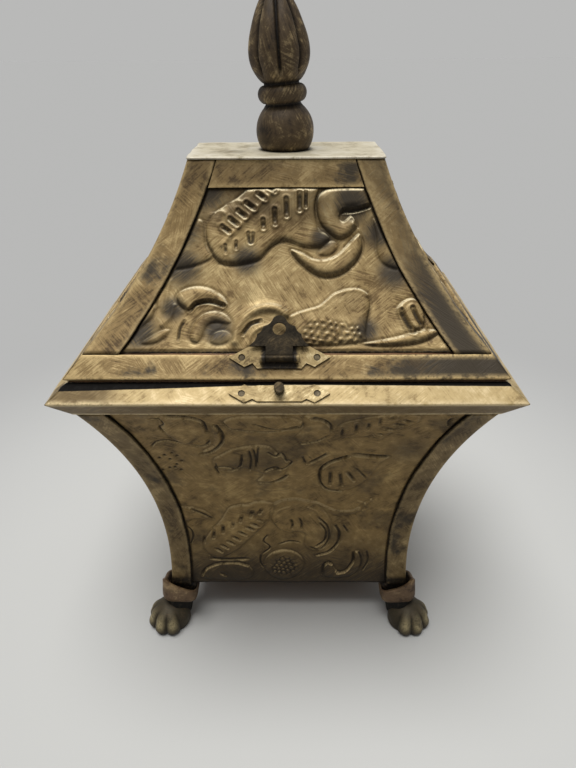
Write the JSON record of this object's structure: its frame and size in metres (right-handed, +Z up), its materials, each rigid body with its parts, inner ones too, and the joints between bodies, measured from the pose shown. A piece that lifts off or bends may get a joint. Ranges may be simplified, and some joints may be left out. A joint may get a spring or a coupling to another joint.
{
  "type": "footed box",
  "caption": "Footed box with a hollow-sided tapering body, rising hinged lid, grooved bud finial, paw feet, pressed leaf-and-scroll panels and a swinging hasp flap.",
  "frame": {"origin": "middle of the box on the surface it stands on, midway between the rim's pointed edges", "axes": "+Z up, +Y to the back where the hinges are, so the hasp faces -Y; +X to the right as seen from the front"},
  "size_m": [0.165, 0.1315, 0.2664],
  "materials": {
    "wood": "bare dark-stained wood inside the box",
    "pressed_sheet": "pressed sheet in antique gold paint with dark patina",
    "strips": "flat strips in antique gold paint with dark rubbed edges",
    "gilt_moulding": "wooden moulding in antique gold paint with dark patina",
    "top_plate": "pale rubbed brass",
    "finial_wood": "turned wood in dull bronze paint with black grooves",
    "feet": "cast feet in dark bronze paint rubbed bright on the toes",
    "fittings": "stamped brass under gold paint",
    "dark_metal": "dark bronzed metal",
    "steel": "plain screw steel"
  },
  "bodies": {
    "box": {"body_back_left_strip": "strips", "body_back_panel": "pressed_sheet", "body_back_right_strip": "strips", "body_back_wall": "wood", "body_front_left_strip": "strips", "body_front_panel": "pressed_sheet", "body_front_right_strip": "strips", "body_front_wall": "wood", "body_left_panel": "pressed_sheet", "body_left_wall": "wood", "body_right_panel": "pressed_sheet", "body_right_wall": "wood", "box_nails": "dark_metal", "catch_hook": "dark_metal", "catch_plate": "fittings", "floor_board": "wood", "foot_back_left": "feet", "foot_back_right": "feet", "foot_front_left": "feet", "foot_front_right": "feet", "foot_screws": "steel", "hinge_box_leaf_left": "fittings", "hinge_box_leaf_right": "fittings", "hinge_pins": "dark_metal", "rim_back": "gilt_moulding", "rim_front": "gilt_moulding", "rim_left": "gilt_moulding", "rim_right": "gilt_moulding"},
    "lid": {"finial": "finial_wood", "finial_dowel": "wood", "hasp_pin": "dark_metal", "hasp_plate": "fittings", "hinge_lid_leaf_left": "fittings", "hinge_lid_leaf_right": "fittings", "lid_back_bottom_strip": "strips", "lid_back_left_strip": "strips", "lid_back_panel": "pressed_sheet", "lid_back_right_strip": "strips", "lid_back_top_strip": "strips", "lid_back_wall": "wood", "lid_front_bottom_strip": "strips", "lid_front_left_strip": "strips", "lid_front_panel": "pressed_sheet", "lid_front_right_strip": "strips", "lid_front_top_strip": "strips", "lid_front_wall": "wood", "lid_left_bottom_strip": "strips", "lid_left_panel": "pressed_sheet", "lid_left_top_strip": "strips", "lid_left_wall": "wood", "lid_nails": "dark_metal", "lid_right_bottom_strip": "strips", "lid_right_panel": "pressed_sheet", "lid_right_top_strip": "strips", "lid_right_wall": "wood", "lid_top_board": "wood", "lid_top_plate": "top_plate"},
    "flap": {"hasp_flap": "dark_metal"}
  },
  "joints": [
    {"name": "lid_hinge", "type": "hinge", "parent": "box", "child": "lid", "pos_m": [0, 0.06193, 0.14995], "axis": [-1, 0, 0], "range_deg": [0, 110]},
    {"name": "hasp_hinge", "type": "hinge", "parent": "lid", "child": "flap", "pos_m": [-0.0023, -0.05663, 0.15568], "axis": [1, 0, 0], "range_deg": [0, 187]}
  ]
}
